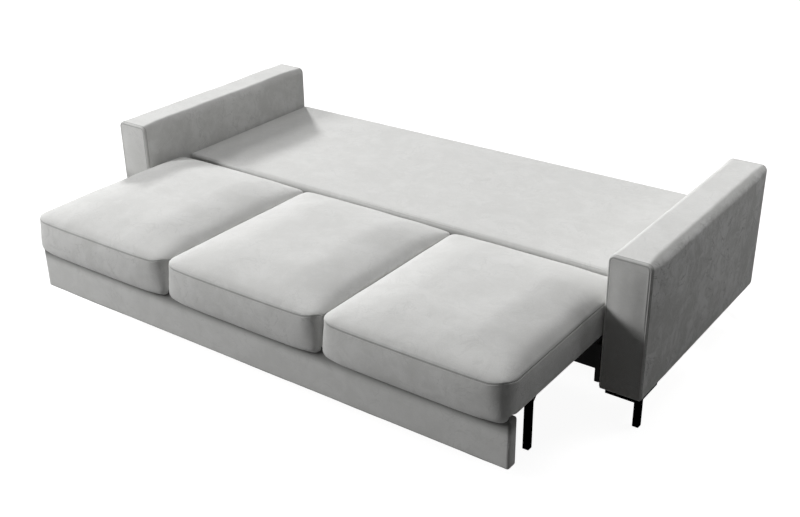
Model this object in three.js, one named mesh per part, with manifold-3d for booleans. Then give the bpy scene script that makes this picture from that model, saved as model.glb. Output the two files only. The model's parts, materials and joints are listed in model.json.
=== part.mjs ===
// Sleeper sofa with a pull-out bed, shown opened flat as a bed. Millimetres, +Z up, +X to the sitter's
// left, +Y towards the rear. While it is built, y = 0 is the front face of the arms; at the end the whole
// group is moved so that the origin is under the middle of the opened bed.
import * as THREE from 'three';
import * as BufferGeometryUtils from 'three/addons/utils/BufferGeometryUtils.js';
import Module from 'manifold-3d';

const wasm = await Module();
wasm.setup();

// General
const fitGap = 0.3;              // clearance between two pieces that touch
const cutOverrun = 5;            // how far a cutting body runs past what it cuts
const roundSides = 24;           // facets of a round bar or hole
const cornerSteps = 4;           // facets of a rounded corner
const endRoundShare = 0.7;       // share of an edge's rounding that runs round the ends

// Arms
const overallWidth = 2300;
const armThickness = 145;
const armHeight = 583;
const armUnderside = 111;
const armEdgeRadius = 14;
const armPadding = 15;           // foam and cloth over the boards
const armBoardThickness = 16;

// Arm legs
const legSection = 21;
const legSideInset = 7;
const legFrontInset = 20;
const legStripThickness = 14;
const legStripWidth = 34;
const legStripFrontInset = 7;
const frontStripLength = 116;
const frontStripReach = 138;
const rearStripLength = 72;
const rearStripReach = 104;
const rearLegInset = 27;         // rear leg, from the arm's inner face
const rearLegRearInset = 16;

// Seat module
const seatTravel = 560;          // how far the seat pulls out
const cushionHome = -3;          // foremost point of the cushions with the seat pushed home
const seatRear = 173;
const cushionCount = 3;
const cushionSideGap = 6;        // between the outer cushions and the arms
const cushionGap = 1.2;
const cushionUnderside = 271;
const cushionSeamHeight = 405;
const cushionCrown = 38;
const cushionFrontRadius = 34;   // in plan, at the front corners
const cushionRearRadius = 20;
const cushionEdgeRadius = 20;    // seen from the side
const cushionSidePinch = 4;      // how far the long sides pull in between the corners
const cushionSideBulge = 3;
const cushionEndStations = 5;
const cushionStepLength = 8;      // from the raised front of the underside to its full depth
const cushionNoseGap = 0.8;       // between the fascia and the nose that hangs before it
const cushionNoseStep = 2;
const cushionBodyStations = 12;
const cushionTopPoints = 14;
const seatTube = 30;
const seatTubeTop = 262;
const seatSideRailInset = 82.5;    // outer face of the seat side rail, from the arm's inner face
const deckThickness = 8.4;
const rearRailFront = 60;
const rearRailDepth = 23.7;
const rearBoardThickness = 16;
const rearBoardBottom = 122;
const rearBoardTop = 240;
const endBoardThickness = 16;
const endBoardFront = 10;
const endBoardRear = 140;
const endBoardBottom = 124;
const endBoardTop = 262;
const seatSideGap = 4;           // seat end boards and fascia, from the arms' inner faces

// Seat legs
const seatLegHome = 278.5;       // front of the seat legs with the seat pushed home
const seatLegGussetFoot = 168;
const seatLegGussetReach = 70;

// Fascia
const fasciaHome = 13.6;         // front of the fascia with the seat pushed home
const fasciaDepth = 42.2;
const fasciaBottom = 124;
const fasciaTop = 286;
const fasciaEdgeRadius = 9;
const fasciaPadding = 15;
const fasciaFrontPadding = 24;

// Seat run-out
const railWall = 3;
const railWeb = 2;
const railEndRoom = 10;          // run left behind the roller when the seat is home
const rollerRadius = 12;
const rollerWidth = 6;
const rollerAxleRadius = 4.7;
const rollerBoreRadius = 5;
const rollerPlace = 120;
const rollerHeadroom = 0.7;
const axlePlateThickness = 5;
const axlePlateReach = 18;       // from the axle to the plate's edges

// Backrest panel, lying flat
const backFront = 223.5;
const closedBackDepth = 237;     // what the upright backrest takes behind the cushions
const backTop = 406;
const backThickness = 75;
const backSideGap = 2.5;
const backEdgeRadius = 15;
const backTopPadding = 25;
const backEndPadding = 15;
const backFrontPadding = 20;
const backBoardThickness = 6;
const backRailWidth = 32;

// Backrest carriage and guides
const tiltDegrees = 78;
const shaftSetback = 45;         // shaft, behind the panel's front edge
const shaftDrop = 95;            // shaft, below the panel's top
const shaftFall = 160;           // how far the shaft comes down over the seat's travel
const shaftRadius = 8;
const shaftBoreRadius = 8.3;
const camSetback = 163.5;        // cam pin, behind the shaft
const camPinRadius = 6;
const bracketThickness = 6;
const bracketInset = 20;         // inner face of the brackets, from the arm's inner face
const bracketRim = 14;
const bracketFlange = 26;
const bracketFlangeThickness = 3;
const driveThickness = 4;
const driveRim = 10;
const driveSlotSlack = 0.5;
const driveArmBottom = 196;
const driveArmTop = 240;
const driveArmFront = 104;
const driveTabRear = 138;
const driveTabBottom = 205;
const driveTabThickness = 10;
const sliderLength = 28;
const sliderHeight = 20;
const sliderThickness = 6.5;
const guideWall = 3;
const guideWeb = 1.2;
const guideDepth = 9;
const guideEndSlack = 3;
const camSlack = 0.5;
const camSteps = 24;
const recessFront = 96;
const recessRearRoom = 55.5;     // behind the shaft's rearmost place
const recessBottom = 130;
const recessTop = 349;

// Rear of the base
const rearBeamThickness = 20;
const rearBeamRearInset = 15;
const rearBeamBottom = 115;
const rearBeamTop = 250;
const bedStopWidth = 60;
const bedStopInset = 365;        // inner end of the bed stops, from the arm's inner face

// Worked out from the sizes above
const armOuter = overallWidth / 2;
const armInner = armOuter - armThickness;
const recessFloor = armInner + armPadding;
const seatTubeBottom = seatTubeTop - seatTube;
const armDepth = seatRear + seatTravel + closedBackDepth;
const seatFront = cushionHome - seatTravel;
const fasciaFront = fasciaHome - seatTravel;
const fasciaRear = fasciaFront + fasciaDepth;
const seatLegFront = seatLegHome - seatTravel;
const backUnderside = backTop - backThickness;
const backEnd = armInner - backSideGap;
const shaftY = backFront + shaftSetback;
const shaftZ = backTop - shaftDrop;
const recessRear = shaftY + seatTravel + recessRearRoom;
const tilt = THREE.MathUtils.degToRad(tiltDegrees);
const shaftSlope = Math.atan2(shaftFall, seatTravel);
const shaftRun = Math.hypot(shaftFall, seatTravel);
const bracketPlace = armInner - bracketInset;
const seatEnd = armInner - seatSideGap;
const endBoardInner = seatEnd - endBoardThickness;
const seatEndReach = endBoardInner - fitGap;
const railBottom = recessBottom + fitGap;
const rollerZ = railBottom + railWall + fitGap + rollerRadius;
const railTop = rollerZ + rollerRadius + rollerHeadroom + railWall;
const bedCentre = (armDepth + seatFront) / 2;

// Materials
function paint(color, roughness, metalness) {
  return new THREE.MeshStandardMaterial({ color, roughness, metalness });
}
const velour = paint(0xcfcfcd, 0.9, 0);
const blackSteel = paint(0x17181a, 0.45, 0.8);
const blackBoard = paint(0x1b1b1c, 0.8, 0);
const beech = paint(0xc9a878, 0.7, 0);
const plywood = paint(0xd2b48a, 0.75, 0);
const zincSteel = paint(0x9a9c9e, 0.4, 0.9);
const nylon = paint(0x2a2a2c, 0.5, 0);

const sofa = new THREE.Group();

function add(name, geometry, material) {
  const mesh = new THREE.Mesh(geometry, material);
  mesh.name = name;
  sofa.add(mesh);
  return mesh;
}

// A piece on the +X side and its mirror image on the -X side
function addPair(name, makeGeometry, material) {
  add(`${name}_left`, makeGeometry(), material);
  add(`${name}_right`, makeGeometry(), material).scale.x = -1;
}

// Plain solids
function block(x0, x1, y0, y1, z0, z1) {
  const box = new THREE.BoxGeometry(x1 - x0, y1 - y0, z1 - z0);
  return box.translate((x0 + x1) / 2, (y0 + y1) / 2, (z0 + z1) / 2);
}

// A plate cut to an outline of [y, z] points and standing between x0 and x1
function plate(outline, x0, x1, holes = []) {
  const shape = new THREE.Shape(outline.map(([y, z]) => new THREE.Vector2(y, z)));
  for (const hole of holes) {
    shape.holes.push(new THREE.Path(hole.map(([y, z]) => new THREE.Vector2(y, z))));
  }
  const body = new THREE.ExtrudeGeometry(shape, { depth: x1 - x0, bevelEnabled: false });
  body.rotateX(Math.PI / 2).rotateZ(Math.PI / 2);
  return body.translate(x0, 0, 0);
}

// A round bar along X
function bar(radius, x0, x1, y, z) {
  const body = new THREE.CylinderGeometry(radius, radius, x1 - x0, roundSides);
  return body.rotateZ(-Math.PI / 2).translate((x0 + x1) / 2, y, z);
}

function circle(radius, y, z) {
  return Array.from({ length: roundSides }, (unused, i) => {
    const angle = (i / roundSides) * 2 * Math.PI;
    return [y + radius * Math.cos(angle), z + radius * Math.sin(angle)];
  });
}

// The outline of a band of half width r along a list of [y, z] points, with round ends
function band(points, r) {
  const near = [];
  const far = [];
  const direction = (i) => {
    const a = points[Math.max(i - 1, 0)];
    const b = points[Math.min(i + 1, points.length - 1)];
    return Math.atan2(b[1] - a[1], b[0] - a[0]);
  };
  points.forEach(([y, z], i) => {
    const across = direction(i) + Math.PI / 2;
    near.push([y - r * Math.cos(across), z - r * Math.sin(across)]);
    far.push([y + r * Math.cos(across), z + r * Math.sin(across)]);
  });
  const cap = (i, start) => Array.from({ length: 2 * cornerSteps - 1 }, (unused, k) => {
    const angle = start + ((k + 1) / (2 * cornerSteps)) * Math.PI;
    return [points[i][0] + r * Math.cos(angle), points[i][1] + r * Math.sin(angle)];
  });
  const last = points.length - 1;
  return [
    ...near,
    ...cap(last, direction(last) - Math.PI / 2),
    ...far.reverse(),
    ...cap(0, direction(0) + Math.PI / 2),
  ];
}

// Joining and cutting
function solid(geometry) {
  const bare = geometry.clone();
  bare.deleteAttribute('normal');
  bare.deleteAttribute('uv');
  const merged = BufferGeometryUtils.mergeVertices(bare, 1e-4);
  return new wasm.Manifold(new wasm.Mesh({
    numProp: 3,
    vertProperties: new Float32Array(merged.attributes.position.array),
    triVerts: new Uint32Array(merged.index.array),
  }));
}

function geometryOf(manifold) {
  const { vertProperties, triVerts } = manifold.getMesh();
  const geometry = new THREE.BufferGeometry();
  geometry.setAttribute('position', new THREE.BufferAttribute(new Float32Array(vertProperties), 3));
  geometry.setIndex(new THREE.BufferAttribute(new Uint32Array(triVerts), 1));
  geometry.computeVertexNormals();
  return geometry;
}

function cut(body, ...tools) {
  return geometryOf(tools.reduce((rest, tool) => rest.subtract(solid(tool)), solid(body)));
}

function join(first, ...others) {
  return geometryOf(others.reduce((sum, other) => sum.add(solid(other)), solid(first)));
}

// An upholstered block with rounded edges all round
function padded(x0, x1, y0, y1, z0, z1, radius) {
  const bevel = radius * endRoundShare;
  const arc = radius - bevel;
  const [left, right, low, high] = [x0 + radius, x1 - radius, z0 + radius, z1 - radius];
  const shape = new THREE.Shape();
  shape.absarc(right, low, arc, -Math.PI / 2, 0);
  shape.absarc(right, high, arc, 0, Math.PI / 2);
  shape.absarc(left, high, arc, Math.PI / 2, Math.PI);
  shape.absarc(left, low, arc, Math.PI, 1.5 * Math.PI);
  const body = new THREE.ExtrudeGeometry(shape, {
    depth: y1 - y0 - 2 * bevel,
    bevelThickness: bevel,
    bevelSize: bevel,
    bevelSegments: cornerSteps,
    curveSegments: cornerSteps,
  });
  return body.rotateX(Math.PI / 2).translate(0, y1 - bevel, 0);
}

// Arms
function armCover() {
  const skin = padded(armInner, armOuter, 0, armDepth, armUnderside, armHeight, armEdgeRadius);
  const hollow = block(
    recessFloor, armOuter - armPadding,
    armPadding, armDepth - armPadding,
    armUnderside - cutOverrun, armHeight - armPadding,
  );
  const recess = block(
    armInner - cutOverrun, recessFloor + cutOverrun,
    recessFront, recessRear, recessBottom, recessTop,
  );
  return cut(skin, hollow, recess);
}
addPair('arm_cover', armCover, velour);

const boardFront = armPadding + fitGap;
const boardRear = armDepth - armPadding - fitGap;
const boardTop = armHeight - armPadding - fitGap;
const innerBoardFace = recessFloor + fitGap;
const outerBoardFace = armOuter - armPadding - fitGap;
const wallBoardsTop = boardTop - armBoardThickness - fitGap;
addPair('arm_inner_board', () => block(
  innerBoardFace, innerBoardFace + armBoardThickness,
  boardFront, boardRear, armUnderside, wallBoardsTop,
), plywood);
addPair('arm_outer_board', () => block(
  outerBoardFace - armBoardThickness, outerBoardFace,
  boardFront, boardRear, armUnderside, wallBoardsTop,
), plywood);
addPair('arm_bottom_board', () => block(
  innerBoardFace + armBoardThickness + fitGap, outerBoardFace - armBoardThickness - fitGap,
  boardFront, boardRear, armUnderside, armUnderside + armBoardThickness,
), plywood);
addPair('arm_top_board', () => block(
  innerBoardFace, outerBoardFace,
  boardFront, boardRear, boardTop - armBoardThickness, boardTop,
), plywood);

// A leg: a square post under the corner of an angle strip
function armLeg(corner, postInset, length, reach, towardRear, towardOutside) {
  const [x, y] = corner;
  const across = (a, b) => (towardOutside ? [x + a, x + b] : [x - b, x - a]);
  const along = (a, b) => (towardRear ? [y + a, y + b] : [y - b, y - a]);
  const stripTop = armUnderside - fitGap;
  const stripBottom = armUnderside - legStripThickness;
  return join(
    block(...across(0, length), ...along(0, legStripWidth), stripBottom, stripTop),
    block(...across(0, legStripWidth), ...along(0, reach), stripBottom, stripTop),
    block(...across(0, legSection), ...along(postInset, postInset + legSection), 0, stripTop),
  );
}
addPair('arm_leg_front', () => armLeg(
  [armOuter - legSideInset, legStripFrontInset], legFrontInset - legStripFrontInset,
  frontStripLength, frontStripReach, true, false,
), blackSteel);
addPair('arm_leg_rear', () => armLeg(
  [armInner + rearLegInset, armDepth - rearLegRearInset], 0,
  rearStripLength, rearStripReach, false, true,
), blackSteel);

// Rails for the seat, fixed to the arms' inner boards inside the recesses
const guideFace = recessFloor - guideDepth;
function seatRail() {
  const railFront = recessFront + fitGap;
  const railRear = rollerPlace + seatTravel + rollerRadius + railEndRoom;
  return cut(
    block(guideFace, recessFloor, railFront, railRear, railBottom, railTop),
    block(
      guideFace - cutOverrun, recessFloor - railWeb,
      railFront - cutOverrun, railRear + cutOverrun,
      railBottom + railWall, railTop - railWall,
    ),
  );
}
addPair('seat_rail', seatRail, zincSteel);

// Guides for the backrest, fixed to the arms' inner boards inside the recesses
const shaftAt = (share) => [shaftY + seatTravel * share, shaftZ - shaftFall * share];
const camAt = (share) => {
  const [y, z] = shaftAt(share);
  return [y + camSetback * Math.cos(tilt * share), z + camSetback * Math.sin(tilt * share)];
};

function trayAlong(points, r) {
  return cut(
    plate(band(points, r + guideWall), guideFace, recessFloor),
    plate(band(points, r), guideFace - cutOverrun, recessFloor - guideWeb),
  );
}

function backGuide() {
  const slack = guideEndSlack + sliderLength / 2;
  const [y0, z0] = shaftAt(-slack / shaftRun);
  const [y1, z1] = shaftAt(1 + slack / shaftRun);
  return trayAlong([[y0, z0], [y1, z1]], sliderHeight / 2 + fitGap);
}
addPair('back_guide', backGuide, zincSteel);

function camTrack() {
  const points = Array.from({ length: camSteps + 1 }, (unused, i) => camAt(i / camSteps));
  return trayAlong(points, camPinRadius + camSlack);
}
addPair('cam_track', camTrack, zincSteel);

// Rear of the base
const beamRear = armDepth - rearBeamRearInset;
const beamFront = beamRear - rearBeamThickness;
add('rear_beam', block(
  -armInner + fitGap, armInner - fitGap, beamFront, beamRear, rearBeamBottom, rearBeamTop,
), beech);
addPair('bed_stop', () => block(
  armInner - bedStopInset, armInner - bedStopInset + bedStopWidth, beamFront, beamRear,
  rearBeamTop + fitGap, backUnderside - fitGap,
), nylon);

// Seat frame
const sideRailOuter = armInner - seatSideRailInset;
const frontRailFront = fasciaRear + fitGap;
const frontRailRear = frontRailFront + seatTube;
const railsRear = rearRailFront - fitGap;
const pitch = (2 * (armInner - cushionSideGap)) / cushionCount;
add('seat_front_rail', block(
  -sideRailOuter, sideRailOuter, frontRailFront, frontRailRear, seatTubeBottom, seatTubeTop,
), blackSteel);
add('seat_rear_rail', block(
  -seatEndReach, seatEndReach,
  rearRailFront, rearRailFront + rearRailDepth, seatTubeBottom, seatTubeTop,
), blackSteel);
addPair('seat_side_rail', () => block(
  sideRailOuter - seatTube, sideRailOuter, frontRailRear + fitGap, railsRear, seatTubeBottom, seatTubeTop,
), blackSteel);
addPair('seat_cross_rail', () => block(
  (pitch - seatTube) / 2, (pitch + seatTube) / 2,
  frontRailRear + fitGap, railsRear, seatTubeBottom, seatTubeTop,
), blackSteel);
const rearBoardFront = rearRailFront + rearRailDepth + fitGap;
const rearBoardRear = rearBoardFront + rearBoardThickness;
add('seat_rear_board', block(
  -seatEndReach, seatEndReach, rearBoardFront, rearBoardRear, rearBoardBottom, rearBoardTop,
), blackBoard);
const deckLow = seatTubeTop + fitGap;
add('seat_deck', block(
  -sideRailOuter, sideRailOuter, frontRailFront, rearBoardRear, deckLow, deckLow + deckThickness,
), plywood);

// Seat ends: boards that stay between the arms, each with the axle of a roller
const endBoardOutline = [
  [endBoardFront, endBoardBottom],
  [endBoardRear, endBoardBottom],
  [endBoardRear, endBoardTop],
  [endBoardFront, endBoardTop],
];
addPair('seat_end_board', () => plate(
  endBoardOutline, endBoardInner, seatEnd, [circle(rollerBoreRadius, rollerPlace, rollerZ)],
), blackBoard);

const rollerOuter = recessFloor - railWeb - fitGap;
function seatAxlePlate() {
  return join(
    block(
      seatEndReach - axlePlateThickness, seatEndReach,
      rollerPlace - axlePlateReach, rollerPlace + axlePlateReach,
      rollerZ - axlePlateReach, rollerZ + axlePlateReach,
    ),
    bar(rollerAxleRadius, seatEndReach - fitGap, rollerOuter, rollerPlace, rollerZ),
  );
}
addPair('seat_axle_plate', seatAxlePlate, blackSteel);
addPair('seat_roller', () => plate(
  circle(rollerRadius, rollerPlace, rollerZ), rollerOuter - rollerWidth, rollerOuter,
  [circle(rollerBoreRadius, rollerPlace, rollerZ)],
), nylon);

// Seat legs with their gussets
const seatLegOutline = [
  [seatLegFront, 0],
  [seatLegFront + legSection, 0],
  [seatLegFront + legSection, seatLegGussetFoot],
  [seatLegFront + legSection + seatLegGussetReach, seatTubeBottom - fitGap],
  [seatLegFront, seatTubeBottom - fitGap],
];
const seatLegOuter = sideRailOuter - (seatTube - legSection) / 2;
addPair('seat_leg', () => plate(seatLegOutline, seatLegOuter - legSection, seatLegOuter), blackSteel);

// Drive plates: an upright slot in each carries the shaft along with the seat
function drivePlate() {
  const slotHalf = shaftRadius + driveSlotSlack;
  const reach = slotHalf + driveRim;
  const low = shaftZ - shaftFall - reach;
  const face = guideFace - 2 * fitGap - driveThickness;
  const outline = [
    [shaftY - reach, low],
    [shaftY + reach, low],
    [shaftY + reach, shaftZ + reach],
    [shaftY - reach, shaftZ + reach],
    [shaftY - reach, driveArmTop],
    [driveArmFront, driveArmTop],
    [driveArmFront, driveArmBottom],
    [shaftY - reach, driveArmBottom],
  ];
  const slot = band([[shaftY, shaftZ - shaftFall], [shaftY, shaftZ]], slotHalf);
  return join(
    plate(outline, face, face + driveThickness, [slot]),
    block(
      seatEnd + fitGap, face + driveThickness / 2,
      driveArmFront, driveTabRear, driveTabBottom, driveTabBottom + driveTabThickness,
    ),
  );
}
addPair('drive_plate', drivePlate, blackSteel);

// Fascia
const fasciaBoardEnd = seatEnd - fasciaPadding - fitGap;
const fasciaBoardFront = fasciaFront + fasciaFrontPadding + fitGap;
function fasciaCover() {
  return cut(
    padded(-seatEnd, seatEnd, fasciaFront, fasciaRear, fasciaBottom, fasciaTop, fasciaEdgeRadius),
    block(
      -seatEnd + fasciaPadding, seatEnd - fasciaPadding,
      fasciaFront + fasciaFrontPadding, fasciaRear + cutOverrun,
      fasciaBottom + fasciaPadding, fasciaTop - fasciaPadding,
    ),
  );
}
add('fascia_cover', fasciaCover(), velour);
add('fascia_board', block(
  -fasciaBoardEnd, fasciaBoardEnd, fasciaBoardFront, fasciaRear,
  fasciaBottom + fasciaPadding + fitGap, fasciaTop - fasciaPadding - fitGap,
), plywood);

// Seat cushions, lofted from sections that follow each other from front to rear
const cushionHalf = (pitch - cushionGap) / 2 - cushionSideBulge;
const cushionLift = fasciaTop + fitGap;          // underside over the fascia
const liftEnd = fasciaRear + fitGap;
const noseRear = fasciaFront - cushionNoseGap;
const noseStep = noseRear - cushionNoseStep;     // the nose keeps its full depth up to here

// How far the ends are rounded off: the share of an end's radius still cut away at each station
function cushionStations() {
  const rounding = (step) => {
    const angle = (step / cushionEndStations) * (Math.PI / 2);
    return [1 - Math.cos(angle), 1 - Math.sin(angle)];
  };
  const steps = [noseStep, noseRear].filter((y) => y > seatFront + cushionNoseStep);
  const clearOfSteps = (y) => steps.every((step) => Math.abs(y - step) > cushionNoseStep / 2);
  const arc = Array.from({ length: cushionEndStations + 1 }, (unused, i) => (
    seatFront + cushionFrontRadius * rounding(i)[0]
  ));
  const front = [...steps, ...arc.filter(clearOfSteps)].sort((a, b) => a - b);
  const stations = front.map((y) => {
    const left = Math.max(0, 1 - (y - seatFront) / cushionFrontRadius);
    const off = 1 - Math.sqrt(1 - left * left);
    return { y, plan: cushionFrontRadius * off, off };
  });
  stations.push({ y: liftEnd, plan: 0, off: 0 });
  const bodyStart = liftEnd + cushionStepLength;
  const bodyEnd = seatRear - cushionRearRadius;
  for (let i = 0; i < cushionBodyStations; i += 1) {
    const y = bodyStart + ((bodyEnd - bodyStart) * i) / cushionBodyStations;
    stations.push({ y, plan: 0, off: 0 });
  }
  for (let i = cushionEndStations; i >= 0; i -= 1) {
    const [along, off] = rounding(i);
    stations.push({ y: seatRear - cushionRearRadius * along, plan: cushionRearRadius * off, off });
  }
  return stations;
}

// One section of a cushion: [x, z] points, counter-clockwise seen from the front
function cushionSection({ y, plan, off }) {
  const along = (2 * (y - seatFront)) / (seatRear - seatFront) - 1;
  const r = cushionEdgeRadius;
  const half = cushionHalf - plan - cushionSidePinch * (1 - along * along);
  const low = (y > noseStep && y <= liftEnd ? cushionLift : cushionUnderside) + r * off;
  const high = cushionSeamHeight - r * off;
  const edge = Math.min(r, (high - low) / 2);
  const crown = (x) => cushionCrown * (1 - along * along) * (1 - (x / half) * (x / half));
  const points = [];
  const corner = (side, centreZ, start) => {
    for (let i = 0; i <= cornerSteps; i += 1) {
      const angle = start + (i / cornerSteps) * (Math.PI / 2);
      const x = side * (half - edge) + edge * Math.cos(angle);
      const z = centreZ + edge * Math.sin(angle);
      points.push([x, z + (centreZ > low + edge ? crown(x) : 0)]);
    }
  };
  const bulge = cushionSideBulge * (1 - off);
  corner(1, low + edge, -Math.PI / 2);
  points.push([half + bulge, (low + high) / 2]);
  corner(1, high - edge + fitGap, 0);
  for (let i = 1; i < cushionTopPoints; i += 1) {
    const x = (half - edge) * (1 - (2 * i) / cushionTopPoints);
    points.push([x, high + fitGap + crown(x)]);
  }
  corner(-1, high - edge + fitGap, Math.PI / 2);
  points.push([-half - bulge, (low + high) / 2]);
  corner(-1, low + edge, Math.PI);
  return points;
}

function cushion(centre) {
  const rings = cushionStations().map((station) => (
    cushionSection(station).map(([x, z]) => [x + centre, station.y, z])
  ));
  const count = rings[0].length;
  const positions = rings.flat(2);
  const index = [];
  const at = (i, j) => i * count + (j % count);
  for (let i = 0; i < rings.length - 1; i += 1) {
    for (let j = 0; j < count; j += 1) {
      index.push(at(i, j), at(i + 1, j), at(i, j + 1));
      index.push(at(i, j + 1), at(i + 1, j), at(i + 1, j + 1));
    }
  }
  for (const [i, front] of [[0, true], [rings.length - 1, false]]) {
    const middle = positions.length / 3;
    const mean = (axis) => rings[i].reduce((sum, point) => sum + point[axis], 0) / count;
    positions.push(mean(0), mean(1), mean(2));
    for (let j = 0; j < count; j += 1) {
      index.push(middle, at(i, front ? j : j + 1), at(i, front ? j + 1 : j));
    }
  }
  const geometry = new THREE.BufferGeometry();
  geometry.setAttribute('position', new THREE.Float32BufferAttribute(positions, 3));
  geometry.setIndex(index);
  geometry.computeVertexNormals();
  return geometry;
}
const cushionNames = ['seat_cushion_right', 'seat_cushion_centre', 'seat_cushion_left'];
cushionNames.forEach((name, i) => {
  add(name, cushion((i - (cushionCount - 1) / 2) * pitch), velour);
});

// Backrest carriage: a shaft under the panel with a slider block at each end
const pinEnd = recessFloor - guideWeb - fitGap;
add('back_shaft', bar(shaftRadius, -pinEnd, pinEnd, shaftY, shaftZ), zincSteel);

function sliderBlock() {
  const [c, s] = [Math.cos(shaftSlope), Math.sin(shaftSlope)];
  const turned = (y, z) => [shaftY + y * c + z * s, shaftZ - y * s + z * c];
  const [a, b] = [sliderLength / 2, sliderHeight / 2];
  const outline = [turned(-a, -b), turned(a, -b), turned(a, b), turned(-a, b)];
  return plate(outline, pinEnd - sliderThickness, pinEnd, [circle(shaftBoreRadius, shaftY, shaftZ)]);
}
addPair('slider_block', sliderBlock, nylon);

// Backrest panel
const [hollowFront, hollowRear] = [backFront + backFrontPadding, armDepth - backEndPadding];
const hollowEnd = backEnd - backEndPadding;
const hollowTop = backTop - backTopPadding;
function backCover() {
  return cut(
    padded(-backEnd, backEnd, backFront, armDepth, backUnderside, backTop, backEdgeRadius),
    block(-hollowEnd, hollowEnd, hollowFront, hollowRear, backUnderside - cutOverrun, hollowTop),
  );
}
add('back_cover', backCover(), velour);

const backBoardTop = backUnderside + backBoardThickness;
add('back_base_board', block(
  -hollowEnd + fitGap, hollowEnd - fitGap, hollowFront + fitGap, hollowRear - fitGap,
  backUnderside, backBoardTop,
), plywood);

const [frameLow, frameHigh] = [backBoardTop + fitGap, hollowTop - fitGap];
const frameEnd = hollowEnd - fitGap;
const frameFront = hollowFront + fitGap + backRailWidth;
const frameRear = hollowRear - fitGap - backRailWidth;
add('back_front_rail', block(
  -frameEnd, frameEnd, frameFront - backRailWidth, frameFront, frameLow, frameHigh,
), beech);
add('back_rear_rail', block(
  -frameEnd, frameEnd, frameRear, frameRear + backRailWidth, frameLow, frameHigh,
), beech);
addPair('back_end_rail', () => block(
  frameEnd - backRailWidth, frameEnd, frameFront + fitGap, frameRear - fitGap, frameLow, frameHigh,
), beech);
add('back_mid_rail', block(
  -backRailWidth / 2, backRailWidth / 2, frameFront + fitGap, frameRear - fitGap, frameLow, frameHigh,
), beech);

function backBracket() {
  const camY = shaftY + camSetback;
  const top = backUnderside - fitGap;
  const outline = [
    [shaftY - bracketRim, top],
    [shaftY - bracketRim, shaftZ - bracketRim / 2],
    [shaftY - bracketRim / 2, shaftZ - bracketRim],
    [camY + bracketRim / 2, shaftZ - bracketRim],
    [camY + bracketRim, shaftZ - bracketRim / 2],
    [camY + bracketRim, top],
  ];
  const holes = [circle(shaftBoreRadius, shaftY, shaftZ), circle(camPinRadius + fitGap, camY, shaftZ)];
  return join(
    plate(outline, bracketPlace, bracketPlace + bracketThickness, holes),
    block(
      bracketPlace - bracketFlange, bracketPlace + bracketThickness / 2,
      shaftY - bracketRim, camY + bracketRim, top - bracketFlangeThickness, top,
    ),
  );
}
addPair('back_bracket', backBracket, blackSteel);
addPair('cam_pin', () => bar(camPinRadius, bracketPlace, pinEnd, shaftY + camSetback, shaftZ), zincSteel);

sofa.position.y = -bedCentre;
sofa.updateMatrixWorld(true);

export default sofa;
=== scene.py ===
"""Looks of a sleeper sofa opened as a bed: upholstery, finishes, light and camera around its CAD frame.

Everything is in metres, in the frame of the CAD model: +Z up, +X to the sitter's left, +Y to the rear.
"""

import json
import math

import bpy
import numpy as np
from mathutils import Matrix, Vector

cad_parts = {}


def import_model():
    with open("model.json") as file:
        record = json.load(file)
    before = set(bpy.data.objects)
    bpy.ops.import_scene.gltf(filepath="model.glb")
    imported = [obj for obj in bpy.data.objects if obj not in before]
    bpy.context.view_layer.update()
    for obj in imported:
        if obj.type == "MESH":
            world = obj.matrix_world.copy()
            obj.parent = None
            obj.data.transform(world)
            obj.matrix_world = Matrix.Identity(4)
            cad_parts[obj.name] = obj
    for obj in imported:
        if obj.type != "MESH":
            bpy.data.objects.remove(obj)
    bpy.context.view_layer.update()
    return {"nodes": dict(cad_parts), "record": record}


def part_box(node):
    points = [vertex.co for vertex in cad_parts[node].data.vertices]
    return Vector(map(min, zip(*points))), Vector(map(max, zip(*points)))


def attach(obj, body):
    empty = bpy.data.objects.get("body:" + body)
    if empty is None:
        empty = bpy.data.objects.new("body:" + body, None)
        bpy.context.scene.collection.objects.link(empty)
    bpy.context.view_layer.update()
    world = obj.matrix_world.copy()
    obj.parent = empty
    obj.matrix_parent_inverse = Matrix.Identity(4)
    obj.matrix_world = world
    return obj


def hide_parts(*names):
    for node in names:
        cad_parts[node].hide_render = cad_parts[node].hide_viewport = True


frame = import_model()
nodes = frame["nodes"]

MM = 0.001
WHITE = (1.0, 1.0, 1.0, 1.0)


# Materials

class Graph:
    """A node tree, and short ways to add nodes to it."""

    def __init__(self, tree):
        self.tree = tree

    def add(self, kind, links=(), values=(), **settings):
        node = self.tree.nodes.new(kind)
        for key, value in settings.items():
            setattr(node, key, value)
        for socket, value in dict(values).items():
            node.inputs[socket].default_value = value
        for socket, source in dict(links).items():
            self.tree.links.new(source, node.inputs[socket])
        return node

    def maths(self, operation, a, b=0.0):
        node = self.add("ShaderNodeMath", operation=operation)
        for socket, value in zip(node.inputs, (a, b)):
            if isinstance(value, (int, float)):
                socket.default_value = value
            else:
                self.tree.links.new(value, socket)
        return node.outputs["Value"]

    def times(self, a, b):
        return self.maths("MULTIPLY", a, b)


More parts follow.
